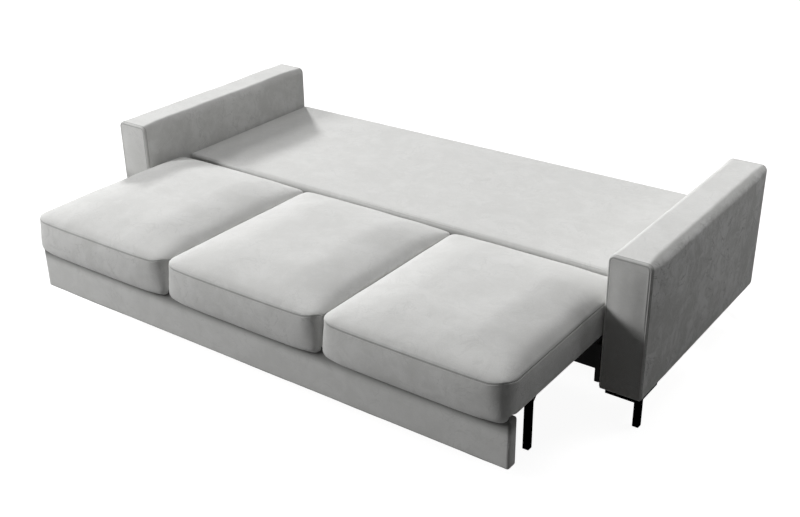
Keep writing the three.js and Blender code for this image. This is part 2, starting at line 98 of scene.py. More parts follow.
class Shader(Graph):
    """A material with a Principled shader, its socket values given by name."""

    def __init__(self, name, **values):
        self.material = bpy.data.materials.new(name)
        self.material.use_nodes = True
        super().__init__(self.material.node_tree)
        self.surface = self.tree.nodes["Principled BSDF"]
        for socket, value in values.items():
            self.surface.inputs[socket.replace("_", " ")].default_value = value
        self.place = self.add("ShaderNodeTexCoord").outputs["Object"]

    def attribute(self, name):
        """A value that the mesh gives at each point."""
        return self.add("ShaderNodeAttribute", attribute_name=name, attribute_type="GEOMETRY").outputs["Fac"]

    def stretched(self, scale):
        """Object coordinates stretched along each axis."""
        return self.add("ShaderNodeMapping", {"Vector": self.place}, {"Scale": scale}).outputs["Vector"]

    def noise(self, scale, detail=4.0, roughness=0.55, distortion=0.0, place=None):
        values = {"Scale": scale, "Detail": detail, "Roughness": roughness, "Distortion": distortion}
        return self.add("ShaderNodeTexNoise", {"Vector": place or self.place}, values).outputs["Fac"]

    def span(self, source, low, high, to_low=0.0, to_high=1.0):
        """A smooth step of a value from one range to another."""
        node = self.add(
            "ShaderNodeMapRange", {"Value": source},
            {"From Min": low, "From Max": high, "To Min": to_low, "To Max": to_high},
            interpolation_type="SMOOTHSTEP",
        )
        return node.outputs["Result"]

    def mix(self, factor, a, b, blend="MIX"):
        """One colour over another; each is a colour socket or three numbers."""
        node = self.add("ShaderNodeMix", data_type="RGBA", blend_type=blend)
        for name, value in (("Factor", factor), ("A", a), ("B", b)):
            socket = [s for s in node.inputs if s.name == name and s.enabled][0]
            if isinstance(value, (int, float)):
                socket.default_value = value
            elif isinstance(value, tuple):
                socket.default_value = (*value, 1.0)
            else:
                self.tree.links.new(value, socket)
        return [s for s in node.outputs if s.enabled][0]

    def bump(self, height, distance, strength, below=None):
        links = {"Height": height}
        if below:
            links["Normal"] = below
        node = self.add("ShaderNodeBump", links, {"Distance": distance, "Strength": strength})
        return node.outputs["Normal"]

    def rounded_edges(self, radius):
        return self.add("ShaderNodeBevel", (), {"Radius": radius}, samples=4).outputs["Normal"]

    def finish(self, **sources):
        for socket, source in sources.items():
            self.tree.links.new(source, self.surface.inputs[socket.replace("_", " ")])
        return self.material


VELOUR_LIGHT = (0.72, 0.72, 0.71)
VELOUR_DARK = (0.56, 0.56, 0.545)
VELOUR_CRACK = (0.38, 0.38, 0.37)
VELOUR_SHADE = (0.15, 0.15, 0.145)    # painted shade under the cushions' nose, on the panel's and fascia's edges and in the seams' grooves, and the stitches' colour
STITCH_PITCH = 6.5 * MM


def velour():
    """Light grey velour: a short nap in faint patches with fine cracks; painted shade darkens it where the
    mesh marks shade and in the seams' grooves, under the stitches.

    The mesh says how strong its patches are (nap), how much painted shade it takes, and where a seam runs
    (seam).
    """
    shader = Shader(
        "velour", Roughness=0.92, Sheen_Weight=0.25, Sheen_Roughness=0.45, Specular_IOR_Level=0.18,
    )
    contrast, seam, fold = (shader.attribute(name) for name in ("nap", "seam", "fold"))
    patches = shader.noise(5.5, detail=5.0, roughness=0.6, distortion=1.2)
    strokes = shader.noise(17.0, detail=7.0, roughness=0.7, distortion=0.9)
    relief = shader.noise(9.0, detail=6.0, roughness=0.6, distortion=0.8)
    fibres = shader.noise(1500.0, detail=2.0, roughness=0.7)
    specks = shader.noise(300.0, detail=3.0, roughness=0.65)

    nap = shader.maths("ADD", shader.times(patches, 0.55), shader.times(strokes, 0.45))
    nap = shader.span(nap, 0.38, 0.62)
    tone = shader.maths("ADD", 0.5, shader.times(shader.maths("SUBTRACT", nap, 0.5), contrast))
    colour = shader.mix(tone, VELOUR_DARK, VELOUR_LIGHT)

    # Cracks follow the middle level of a noise, within the patches
    off_level = shader.maths("ABSOLUTE", shader.maths("SUBTRACT", relief, 0.5))
    cracks = shader.times(shader.span(off_level, 0.0, 0.02, 1.0, 0.0), shader.span(patches, 0.4, 0.6))
    cracks = shader.times(cracks, shader.times(contrast, 0.55))
    colour = shader.mix(cracks, colour, VELOUR_CRACK)

    grain = shader.span(shader.maths("ADD", specks, fibres), 0.75, 1.25, 0.965, 1.025)
    grey = shader.add("ShaderNodeCombineColor", {"Red": grain, "Green": grain, "Blue": grain})
    colour = shader.mix(1.0, colour, grey.outputs["Color"], blend="MULTIPLY")
    # Painted shade: darker where the mesh marks it, under the cushions' nose and at the panel's and fascia's
    # edges
    colour = shader.mix(fold, colour, VELOUR_SHADE)

    # Stitches along the seams over painted shade in their grooves; each seam runs along one axis or round a
    # corner
    along = shader.add("ShaderNodeSeparateXYZ", {"Vector": shader.place}).outputs
    run = shader.maths("ADD", shader.maths("ADD", along["X"], along["Y"]), along["Z"])
    beat = shader.maths("SINE", shader.times(run, 2 * math.pi / STITCH_PITCH))
    dark = shader.times(seam, shader.span(beat, -0.6, 0.8, 0.68, 0.38))
    colour = shader.mix(dark, colour, VELOUR_SHADE)

    pile = shader.maths("SUBTRACT", shader.times(nap, contrast), cracks)
    normal = shader.bump(fibres, 0.6 * MM, 0.5)
    normal = shader.bump(specks, 1.0 * MM, 0.3, below=normal)
    normal = shader.bump(pile, 2.0 * MM, 0.5, below=normal)
    normal = shader.bump(shader.times(beat, seam), 0.8 * MM, 0.5, below=normal)
    return shader.finish(Base_Color=colour, Normal=normal)


def black_steel():
    """Matt black powder coat with a fine orange peel and cloudy wear."""
    shader = Shader("black_steel", Metallic=0.0, Specular_IOR_Level=0.0)
    peel = shader.noise(650.0, detail=2.0)
    wear = shader.noise(38.0, detail=6.0, roughness=0.7)
    colour = shader.mix(shader.span(wear, 0.55, 0.8), (0.002, 0.002, 0.0022), (0.005, 0.005, 0.0053))
    return shader.finish(
        Base_Color=colour, Roughness=shader.span(wear, 0.3, 0.8, 0.55, 0.75),
        Normal=shader.bump(peel, 0.3 * MM, 0.35, below=shader.rounded_edges(1.2 * MM)),
    )


def black_wood():
    """Black painted board: the grain still shows as fine ridges."""
    shader = Shader("black_wood", Specular_IOR_Level=0.06)
    grain = shader.noise(34.0, detail=7.0, roughness=0.65, place=shader.stretched((0.25, 3.0, 6.0)))
    colour = shader.mix(shader.span(grain, 0.4, 0.7), (0.006, 0.006, 0.0065), (0.012, 0.012, 0.012))
    return shader.finish(
        Base_Color=colour, Roughness=shader.span(grain, 0.3, 0.7, 0.55, 0.75),
        Normal=shader.bump(grain, 0.6 * MM, 0.5, below=shader.rounded_edges(1.0 * MM)),
    )


def timber(name, pale, dark, stretch, plies=False):
    """Bare wood with its grain along one axis; plywood also shows its plies on the cut edges."""
    shader = Shader(name, Specular_IOR_Level=0.3)
    place = shader.stretched(stretch)
    figure = shader.noise(16.0, detail=8.0, roughness=0.6, distortion=0.5, place=place)
    pores = shader.noise(160.0, detail=3.0, roughness=0.7, place=place)
    colour = shader.mix(shader.span(figure, 0.35, 0.68), pale, dark)
    colour = shader.mix(shader.span(pores, 0.58, 0.75, 0.0, 0.35), colour, dark)
    if plies:
        bands = shader.add(
            "ShaderNodeTexWave", {"Vector": shader.place}, {"Scale": 110.0, "Distortion": 0.6, "Detail": 2.0},
            wave_type="BANDS", bands_direction="Z",
        ).outputs["Fac"]
        facing = shader.add("ShaderNodeTexCoord").outputs["Normal"]
        level = shader.add("ShaderNodeSeparateXYZ", {"Vector": facing}).outputs["Z"]
        edge = shader.maths("SUBTRACT", 1.0, shader.maths("ABSOLUTE", level))
        glue = shader.times(shader.span(bands, 0.3, 0.7), shader.span(edge, 0.4, 0.9, 0.0, 0.4))
        colour = shader.mix(glue, colour, dark)
    return shader.finish(
        Base_Color=colour, Roughness=shader.span(pores, 0.3, 0.8, 0.55, 0.8),
        Normal=shader.bump(figure, 0.6 * MM, 0.3, below=shader.rounded_edges(0.8 * MM)),
    )


def zinc_steel():
    """Zinc plated steel: a fine brushed grain with faint cloudy spangle."""
    shader = Shader("zinc_steel", Metallic=1.0)
    cloud = shader.noise(24.0, detail=4.0)
    brushed = shader.noise(120.0, detail=3.0, place=shader.stretched((1.0, 0.08, 6.0)))
    colour = shader.mix(shader.span(cloud, 0.35, 0.65), (0.50, 0.51, 0.53), (0.62, 0.63, 0.64))
    return shader.finish(
        Base_Color=colour, Roughness=shader.span(brushed, 0.3, 0.7, 0.28, 0.46),
        Normal=shader.bump(brushed, 0.2 * MM, 0.3, below=shader.rounded_edges(0.6 * MM)),
    )


def nylon():
    """Moulded nylon: near black, satin, with a fine spark texture."""
    shader = Shader("nylon", Specular_IOR_Level=0.45)
    spark = shader.noise(900.0, detail=2.0)
    tone = shader.noise(30.0, detail=3.0)
    colour = shader.mix(shader.span(tone, 0.3, 0.7), (0.022, 0.022, 0.024), (0.034, 0.034, 0.037))
    return shader.finish(
        Base_Color=colour, Roughness=shader.span(spark, 0.3, 0.7, 0.42, 0.6),
        Normal=shader.bump(spark, 0.2 * MM, 0.4, below=shader.rounded_edges(0.8 * MM)),
    )


BEECH_PALE, BEECH_DARK = (0.60, 0.43, 0.27), (0.42, 0.27, 0.15)
PLY_PALE, PLY_DARK = (0.68, 0.53, 0.34), (0.46, 0.32, 0.18)
finishes = {
    "velour": velour(),
    "black_steel": black_steel(),
    "black_wood": black_wood(),
    "beech": timber("beech", BEECH_PALE, BEECH_DARK, (0.15, 1.6, 2.4)),
    "plywood": timber("plywood", PLY_PALE, PLY_DARK, (1.2, 0.12, 1.0), plies=True),
    "zinc_steel": zinc_steel(),
    "nylon": nylon(),
}

for part in frame["record"]["subparts"]:
    node = nodes[part["node"]]
    node.data.materials.clear()
    node.data.materials.append(finishes[part["material_slot"]])


# Shaping tools

TOUCHING = 1e-6                       # closer than this, a point lies on a side of its box
CLOSE_ROWS = (-6.0, -4.2, -2.8, -1.7, -0.8, 0.0, 0.8, 1.7, 2.8, 4.2, 6.0)    # mm beside a fine place
EDGE_ROWS = (0.2, 0.45, 0.72, 1.0)    # shares of an edge's radius
EVEN_ROW_ROOM = 0.55                  # share of a step that even rows keep from close ones
LEAST_ROW_GAP = 0.6 * MM


def rows(low, high, step, fine=(), edge=0.0):
    """Coordinates from low to high about step apart, closer near both ends and beside each fine place."""
    close = [place + offset * MM for place in fine for offset in CLOSE_ROWS]
    if edge:
        for share in EDGE_ROWS:
            close += [low + edge * share, high - edge * share]
    even = np.linspace(low, high, max(2, int(round((high - low) / step)) + 1))[1:-1]
    even = [c for c in even if all(abs(c - f) > EVEN_ROW_ROOM * step for f in close)]
    values = sorted({low, high, *[c for c in close + even if low < c < high]})
    kept = [values[0]]
    for value in values[1:-1]:
        if value - kept[-1] > LEAST_ROW_GAP:
            kept.append(value)
    return np.array(kept + [values[-1]])


class Block:
    """The outside of a box as one closed mesh of quads on three rows of coordinates."""

    def __init__(self, xs, ys, zs):
        self.axes = [np.asarray(a, float) for a in (xs, ys, zs)]
        counts = [len(a) for a in self.axes]
        lattice = np.indices(counts)
        outer = np.zeros(counts, bool)
        for axis, count in enumerate(counts):
            outer |= (lattice[axis] == 0) | (lattice[axis] == count - 1)
        self.number = -np.ones(counts, int)
        self.number[outer] = np.arange(outer.sum())
        self.at = np.argwhere(outer)
        self.flat = np.stack([self.axes[a][self.at[:, a]] for a in range(3)], axis=1)
        self.quads = np.concatenate([self.side(axis, end) for axis in range(3) for end in (0, -1)])

    def side(self, axis, end):
        """Quads of one side, turned outwards."""
        sheet = np.take(self.number, end, axis=axis)
        corners = [sheet[:-1, :-1], sheet[1:, :-1], sheet[1:, 1:], sheet[:-1, 1:]]
        quads = np.stack(corners, axis=-1).reshape(-1, 4)
        outward = (end == -1) == (axis != 1)
        return quads if outward else quads[:, ::-1]

    def field(self, flat, values):
        """Values given at this block's points, read off at other points on the same box."""
        counts = [len(a) for a in self.axes]
        full = np.zeros((*counts, values.shape[1]))
        full[tuple(self.at.T)] = values
        low, share = [], []
        for axis in range(3):
            row = self.axes[axis]
            i = np.clip(np.searchsorted(row, flat[:, axis], side="right") - 1, 0, len(row) - 2)
            low.append(i)
            share.append(np.clip((flat[:, axis] - row[i]) / (row[i + 1] - row[i]), 0, 1))
        out = np.zeros((len(flat), values.shape[1]))
        for corner in np.ndindex(2, 2, 2):
            weight = np.ones(len(flat))
            for axis in range(3):
                weight = weight * (share[axis] if corner[axis] else 1 - share[axis])
            out += weight[:, None] * full[tuple(low[a] + corner[a] for a in range(3))]
        return out


def smooth(values, low, high):
    """A smooth step from 0 at low to 1 at high."""
    share = np.clip((values - low) / (high - low), 0, 1)
    return share * share * (3 - 2 * share)


def rounded(flat, low, high, edge, corner=None):
    """Points of a box pulled in to rounded edges. corner is the plan radius of the upright corners."""
    edge = np.broadcast_to(edge, len(flat))
    extra = np.maximum(np.broadcast_to(edge if corner is None else corner, len(flat)) - edge, 0)
    inner = np.empty_like(flat)
    centre = np.stack([
        np.clip(flat[:, a], low[a] + edge + extra, high[a] - edge - extra) for a in range(2)
    ], axis=1)
    away = flat[:, :2] - centre
    reach = np.maximum(np.linalg.norm(away, axis=1), 1e-9)
    inner[:, :2] = centre + away * np.minimum(1, extra / reach)[:, None]
    inner[:, 2] = np.clip(flat[:, 2], low[2] + edge, high[2] - edge)
    step = flat - inner
    length = np.maximum(np.linalg.norm(step, axis=1), 1e-9)
    return inner + step * (edge / length)[:, None]


def normals_of(points, quads):
    """Smooth normals at the points of a closed mesh of quads."""
    a, b, c, d = (points[quads[:, i]] for i in range(4))
    face = np.cross(c - a, d - b)
    total = np.zeros_like(points)
    for i in range(4):
        np.add.at(total, quads[:, i], face)
    return total / np.maximum(np.linalg.norm(total, axis=1), 1e-12)[:, None]


RIPPLE_WAVES = 9


def ripple(points, length, seed):
    """A smooth random field, mostly within -1 to 1, with waves about one length long."""
    draw = np.random.default_rng(seed)
    total = np.zeros(len(points))
    for _ in range(RIPPLE_WAVES):
        direction = draw.normal(size=3)
        direction /= np.linalg.norm(direction)
        rate = 2 * math.pi / (length * draw.uniform(0.7, 1.5))
        total += np.sin(points @ direction * rate + draw.uniform(0, 2 * math.pi))
    return total / math.sqrt(RIPPLE_WAVES)


SEAM_DEPTH, SEAM_WIDTH = 1.3 * MM, 1.5 * MM
LIP_HEIGHT, LIP_WIDTH, LIP_PLACE = 0.5 * MM, 1.6 * MM, 3.6 * MM


def seam_profile(distance):
    """How far a seam moves the cloth in or out, and how dark its painted groove shade is, by distance from
    its line.
    """
    groove = np.exp(-(distance / SEAM_WIDTH) ** 2)
    lips = np.exp(-((np.abs(distance) - LIP_PLACE) / LIP_WIDTH) ** 2)
    return LIP_HEIGHT * lips - SEAM_DEPTH * groove, groove


SHARP_ANGLE = math.radians(50)
BOARD_GAP = 0.3 * MM                  # between a cover and what it is hollowed for
CUT_PAST = 10 * MM                    # how far a cut runs out through an open side


def make_object(name, points, quads, material, **attributes):
    mesh = bpy.data.meshes.new(name)
    mesh.from_pydata(points.tolist(), [], quads.tolist())
    mesh.materials.append(material)
    for key, values in attributes.items():
        attribute = mesh.attributes.new(key, "FLOAT", "POINT")
        attribute.data.foreach_set("value", np.broadcast_to(values, len(points)).astype(np.float32))
    mesh.update()
    piece = bpy.data.objects.new(name, mesh)
    bpy.context.scene.collection.objects.link(piece)
    mesh.shade_smooth()
    return piece


def apply_modifiers(piece):
    """Puts the result of the modifiers into the mesh and takes them off."""
    bpy.context.view_layer.update()
    depsgraph = bpy.context.evaluated_depsgraph_get()
    final = bpy.data.meshes.new_from_object(piece.evaluated_get(depsgraph))
    piece.modifiers.clear()
    piece.data = final


def cut_away(piece, low, high, material):
    """Cuts a box out of a piece; the cut faces take a material."""
    box = Block(*((low[a], high[a]) for a in range(3)))
    cutter = make_object("cutter", box.flat, box.quads, material)
    modifier = piece.modifiers.new("cut", "BOOLEAN")
    modifier.object = cutter
    modifier.solver = "EXACT"
    modifier.material_mode = "TRANSFER"
    apply_modifiers(piece)
    bpy.data.objects.remove(cutter)


def place_piece(piece, body, slot_name, *replaced):
    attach(piece, body)
    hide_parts(*replaced)


# Arms

ARM_STEP = 12 * MM
ARM_PADDING = 15 * MM                 # over the boards
ARM_EDGE = 9 * MM                     # round the end panels and along the bottom
ARM_END_CORNER = 22 * MM              # the end panels' upper corners
ARM_SOFT_EDGE = 28 * MM               # along the top, away from the ends
ARM_EDGE_BLEND = 90 * MM
ARM_UPPER_FADE = 50 * MM              # below the top, where the upper radius is reached
ARM_SEAM_INSET = 8 * MM
ARM_PANEL_RIM = 12 * MM               # close rows inside the end panel's seam
ARM_FULLNESS = 5.5 * MM               # how far the outer side swells
ARM_TOP_FULLNESS = 2 * MM
ARM_END_FULLNESS = 5.5 * MM
ARM_WAVES, ARM_WAVE_LENGTH = 1.2 * MM, 340 * MM
ARM_WAVE_SEEDS = {"left": 11, "right": 12}
ARM_DIMPLES, ARM_DIMPLE_LENGTH, ARM_DIMPLE_SEED = 0.25 * MM, 45 * MM, 21
ARM_NAP_FRONT, ARM_NAP_INSIDE, ARM_NAP_OUTSIDE = 0.3, 0.6, 1.4
RECESS_OUT, RECESS_IN = 20 * MM, 5 * MM      # past the inner face, and past the padding
RECESS_REAR_ROOM, RECESS_TOP_ROOM = 12 * MM, 5 * MM

# Distances over which waves, fullness, the ends' pillow and dimples set in
WAVES_FROM_END, WAVES_FROM_BOTTOM = (0.0, 200 * MM), (0.0, 160 * MM)
FULL_FROM_END, FULL_FROM_BOTTOM = (8 * MM, 120 * MM), (0.0, 120 * MM)
PILLOW_FROM_SIDE, PILLOW_FROM_TOP = (8 * MM, 60 * MM), (8 * MM, 70 * MM)
PILLOW_FROM_BOTTOM = (0.0, 50 * MM)
DIMPLES_FROM_END = (10 * MM, 50 * MM)

# How far a face has turned up, in or to a side when a change begins and when it is complete
ARM_TOP_FACING, ARM_INNER_FACING, ARM_NAP_FACING = (0.2, 0.9), (0.1, 0.9), (0.5, 0.95)


def arm_block(low, high):
    """An arm's box with close rows at its edges and seams."""
    insets = (ARM_SEAM_INSET, ARM_SEAM_INSET + ARM_PANEL_RIM)
    fine = (
        [place for inset in insets for place in (low.x + inset, high.x - inset)],
        [low.y + ARM_SEAM_INSET, high.y - ARM_SEAM_INSET],
        [high.z - inset for inset in insets],
    )
    return Block(*(rows(low[a], high[a], ARM_STEP, fine[a], ARM_SOFT_EDGE) for a in range(3)))


def arm_outline(flat, from_end, low, high):
    """The arm's box with rounded edges, and the radius that its cross-section has at each point."""
    upper = smooth(flat[:, 2], (low.z + high.z) / 2, high.z - ARM_UPPER_FADE)
    softest = ARM_END_CORNER + (ARM_SOFT_EDGE - ARM_END_CORNER) * smooth(from_end, 0.0, ARM_EDGE_BLEND)
    radius = ARM_EDGE + (softest - ARM_EDGE) * upper
    turned = [0, 2, 1]
    box = [low[a] for a in turned], [high[a] for a in turned]
    points = rounded(flat[:, turned], *box, ARM_EDGE, radius)
    return points[:, turned], radius


def arm_seams(points, radius, from_end, low, high):
    """A seam round each end panel and one round the body beside it, with a rounded welt between them."""
    past_x = points[:, 0] - np.clip(points[:, 0], low.x + radius, high.x - radius)
    past_z = np.maximum(points[:, 2] - high.z + radius, 0)
    inset = radius - np.hypot(past_x, past_z)
    return seam_profile(np.where(from_end < TOUCHING, inset, from_end) - ARM_SEAM_INSET)


def arm_padding(side, flat, points, normal, facing, from_end, low, high):
    """How far the padding swells at each point. facing is 1 on the outer side and -1 on the inner one."""
    on_end = from_end < TOUCHING
    from_side = np.minimum(flat[:, 0] - low.x, high.x - flat[:, 0])
    from_top = high.z - flat[:, 2]
    from_bottom = flat[:, 2] - low.z
    waves = smooth(from_end, *WAVES_FROM_END) * smooth(from_bottom, *WAVES_FROM_BOTTOM)
    body = ARM_WAVES * waves * ripple(points, ARM_WAVE_LENGTH, ARM_WAVE_SEEDS[side])
    fullness = ARM_FULLNESS + (ARM_TOP_FULLNESS - ARM_FULLNESS) * smooth(normal[:, 2], *ARM_TOP_FACING)
    spread = smooth(from_end, *FULL_FROM_END) * smooth(from_bottom, *FULL_FROM_BOTTOM)
    body += fullness * np.where(on_end, 0, spread)
    body *= 1 - smooth(-facing, *ARM_INNER_FACING)
    pillow = ARM_END_FULLNESS * smooth(from_side, *PILLOW_FROM_SIDE) * smooth(from_top, *PILLOW_FROM_TOP)
    pillow = np.where(on_end, pillow, 0) * smooth(from_bottom, *PILLOW_FROM_BOTTOM)
    dimples = ARM_DIMPLES * ripple(points, ARM_DIMPLE_LENGTH, ARM_DIMPLE_SEED)
    return body + pillow + dimples * smooth(from_end, *DIMPLES_FROM_END)


def hollow_arm(piece, side, outward, low, high):
    """Makes room for the boards, and on the inner side for the seat rail and the tracks."""
    inner, outer = (low.x, high.x) if side == "left" else (high.x, low.x)
    x_low, x_high = sorted((inner + outward * ARM_PADDING, outer - outward * ARM_PADDING))
    cut_away(
        piece,
        (x_low, low.y + ARM_PADDING, low.z - CUT_PAST),
        (x_high, high.y - ARM_PADDING, high.z - ARM_PADDING),
        finishes["plywood"],
    )
    rail_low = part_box(f"seat_rail_{side}")[0]
    track_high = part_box(f"cam_track_{side}")[1]
    x_low, x_high = sorted((inner - outward * RECESS_OUT, inner + outward * (ARM_PADDING + RECESS_IN)))
    cut_away(
        piece,
        (x_low, rail_low.y - BOARD_GAP, rail_low.z - BOARD_GAP),
        (x_high, track_high.y + RECESS_REAR_ROOM, track_high.z + RECESS_TOP_ROOM),
        finishes["velour"],
    )


def arm_cover(side):
    """An arm's cloth over its boards: crisp seamed ends, soft top edges, slightly full faces."""
    name = f"arm_cover_{side}"
    low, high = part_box(name)
    outward = 1 if side == "left" else -1
    block = arm_block(low, high)
    flat = block.flat
    from_end = np.minimum(flat[:, 1] - low.y, high.y - flat[:, 1])
    points, radius = arm_outline(flat, from_end, low, high)
    normal = normals_of(points, block.quads)
    facing = np.where(from_end < TOUCHING, 0.0, outward * normal[:, 0])

    move, mark = arm_seams(points, radius, from_end, low, high)
    underneath = flat[:, 2] < low.z + TOUCHING
    move[underneath] = 0
    mark[underneath] = 0
    padding = arm_padding(side, flat, points, normal, facing, from_end, low, high)
    points = points + normal * (move + padding)[:, None]
    points[underneath, 2] = low.z

    nap = ARM_NAP_FRONT + (ARM_NAP_OUTSIDE - ARM_NAP_FRONT) * smooth(facing, *ARM_NAP_FACING)
    nap += (ARM_NAP_INSIDE - ARM_NAP_FRONT) * smooth(-facing, *ARM_NAP_FACING)
    piece = make_object(f"cover_arm_{side}", points, block.quads, finishes["velour"], seam=mark, nap=nap)
    hollow_arm(piece, side, outward, low, high)
    piece.data.set_sharp_from_angle(angle=SHARP_ANGLE)
    place_piece(piece, "base", "velour", name)


# Backrest panel and fascia

PANEL_STEP, PANEL_EDGE = 14 * MM, 15 * MM
PANEL_WAVES, PANEL_SEED, PANEL_NAP = 1.0 * MM, 70, 0.3
# Painted shade on the backrest panel's front edge, where it meets the seat
PANEL_PAINTED_SHADE, PANEL_SHADE_SPAN = 0.5, (8 * MM, 26 * MM)    # the span is below the top
FASCIA_STEP, FASCIA_EDGE = 12 * MM, 9 * MM
FASCIA_WAVES, FASCIA_SEED, FASCIA_NAP = 0.6 * MM, 80, 0.35
FASCIA_SAG = 3 * MM                   # of the cloth below the solid
# Painted shade on the fascia: a contact shadow under the cushions' nose, and a dark line along its bottom
# edge
NOSE_PAINTED_SHADE, NOSE_SHADE_REACH = 0.92, 42 * MM
HEM_PAINTED_SHADE, HEM_SHADE_REACH = 0.85, 10 * MM
WAVE_LENGTH, WAVE_FADE = 300 * MM, 120 * MM
DIMPLES, DIMPLE_LENGTH, DIMPLE_FADE = 0.2 * MM, 50 * MM, 40 * MM
FAR = 10.0                            # takes the side that a point lies on out of a least distance


def padded_panel(name, node, body, step, edge, waves, seed, nap, hollow, fold, sag=0.0):
    """A flat upholstered panel over a board or frame, hollow where the frame sits."""
    low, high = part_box(node)
    low.z -= sag
    block = Block(*(rows(low[a], high[a], step, (), edge) for a in range(3)))
    points = rounded(block.flat, low, high, edge)
    normal = normals_of(points, block.quads)
    insets = np.minimum(block.flat - np.array(low), np.array(high) - block.flat)
    from_edge = np.min(insets + FAR * (insets < TOUCHING), axis=1)
    soft = waves * ripple(points, WAVE_LENGTH, seed) * smooth(from_edge, 0.0, WAVE_FADE)
    soft += DIMPLES * ripple(points, DIMPLE_LENGTH, seed + 1) * smooth(from_edge, 0.0, DIMPLE_FADE)
    points = points + normal * soft[:, None]
    # The last function given paints shade into the cloth's colour at each point
    piece = make_object(
        name, points, block.quads, finishes["velour"],
        seam=0.0, nap=nap, fold=fold(points, low, high),
    )
    cut_away(piece, *hollow(low, high), finishes["plywood"])
    piece.data.set_sharp_from_angle(angle=SHARP_ANGLE)
    place_piece(piece, body, "velour", node)


def back_hollow(low, high):
    """Room for the base board and the frame over it, open below."""
    board_low, board_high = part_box("back_base_board")
    rail_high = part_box("back_front_rail")[1]
    return (
        (board_low.x - BOARD_GAP, board_low.y - BOARD_GAP, low.z - CUT_PAST),
        (board_high.x + BOARD_GAP, board_high.y + BOARD_GAP, rail_high.z + BOARD_GAP),
    )


def fascia_hollow(low, high):
    """Room for the fascia's board, open to the rear."""
    board_low, board_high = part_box("fascia_board")
    return (
        (board_low.x - BOARD_GAP, board_low.y - BOARD_GAP, board_low.z - BOARD_GAP),
        (board_high.x + BOARD_GAP, high.y + CUT_PAST, board_high.z + BOARD_GAP),
    )


def panel_fold(points, low, high):
    """Painted shade on the panel's front edge, darker down towards the seat."""
    front = 1 - smooth(points[:, 1] - low[1], 0, PANEL_EDGE)
    return PANEL_PAINTED_SHADE * front * smooth(high[2] - points[:, 2], *PANEL_SHADE_SPAN)


def fascia_fold(points, low, high):
    """Painted shade on the cloth: under the cushions' nose and along the bottom edge."""
    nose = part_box("seat_deck")[1].z
    above = NOSE_PAINTED_SHADE * (1 - smooth(nose - points[:, 2], 0, NOSE_SHADE_REACH))
    below = HEM_PAINTED_SHADE * (1 - smooth(points[:, 2] - low[2], 0, HEM_SHADE_REACH))
    return above + below


# Seat cushions

CUSHION_STEP = 9 * MM
CUSHION_GAP = 1.2 * MM
OUTER_ROOM = 4 * MM                   # how far the outer cushions may reach past their pitch
DECK_GAP, FASCIA_GAP = 0.3 * MM, 0.6 * MM
SEAM_BELOW_PANEL = 4.5 * MM           # the cushions' upper seam, below the top of the backrest panel
EDGE_ABOVE_SEAM = 4 * MM
TOP_EDGE = 6 * MM
LOW_EDGE, LOW_SIDE_EDGE = 21 * MM, 33 * MM
LOW_SIDE_BLEND = 100 * MM
LOW_ROWS = 0.6 * LOW_EDGE
FRONT_CORNER, FRONT_CORNER_BELOW, REAR_CORNER = 56 * MM, 34 * MM, 24 * MM
CORNER_BLEND = 10 * MM                # from the rear half's corners to the front half's
FRONT_PROUD = 2 * MM                  # seam's reach in front of the CAD's cushion
REAR_PROUD = 5 * MM
ROLL, ROLL_WIDTH = 16 * MM, 60 * MM
CROWN, CROWN_WIDTH, CROWN_POWER = 38 * MM, 200 * MM, 1.6
FRONT_BULGE = 7 * MM
FRONT_BOW = 8 * MM                    # how far the front bows out between its corners
SIDE_BULGE = 4 * MM
SIDE_PINCH = 1.8 * MM                 # how far the seam pulls in between the corners
BELLY_POWER = 0.6
BAND_MIDDLE, CROWN_LEVELS, PINCH_LEVELS = (0.42, 0.58), (0.8, 1.0), (0.3, 1.0)    # shares of the height
RIM = (0.85, 1.0)                     # shares of the half width or depth over which bulges set in
TOP_FACING, SIDE_FACING = (0.5, 0.9), (0.15, 0.5)
NOSE_GAP = 2 * MM                     # between the fascia's front and the nose that hangs before it
STEP_BEFORE, STEP_BEHIND = 0.1 * MM, 0.4 * MM       # of the step up from the nose to the fascia
LAP_FROM, LAP_TO = 2 * MM, 12 * MM    # behind the fascia, where the cushion comes down to the deck
LIFT_REACH = 45 * MM                  # how high the lift over the fascia reaches into the cushion
SIDE_ROWS = 4 * MM
PUCKER, PUCKER_LENGTH, PUCKER_HEIGHT = 0.3 * MM, 26 * MM, 16 * MM
PUCKER_PLACE, PUCKER_WIDTH = 30 * MM, 45 * MM       # in from the front
PUCKER_STRETCH = np.array([1.0, 0.55, 1.0])
UNEVEN, UNEVEN_LENGTH, UNEVEN_SIDE_SHARE = 0.5 * MM, 160 * MM, 0.35
CUSHION_NAP, CUSHION_SIDE_NAP = 0.3, 0.5
CUSHION_SEEDS = {"right": 40, "centre": 50, "left": 60}
SIM_FRAMES, SIM_PRESSURE = 20, 4.0
SEAM_HOLD = 0.5
TOP_SWELL, SIDE_SWELL = 5 * MM, 2.5 * MM


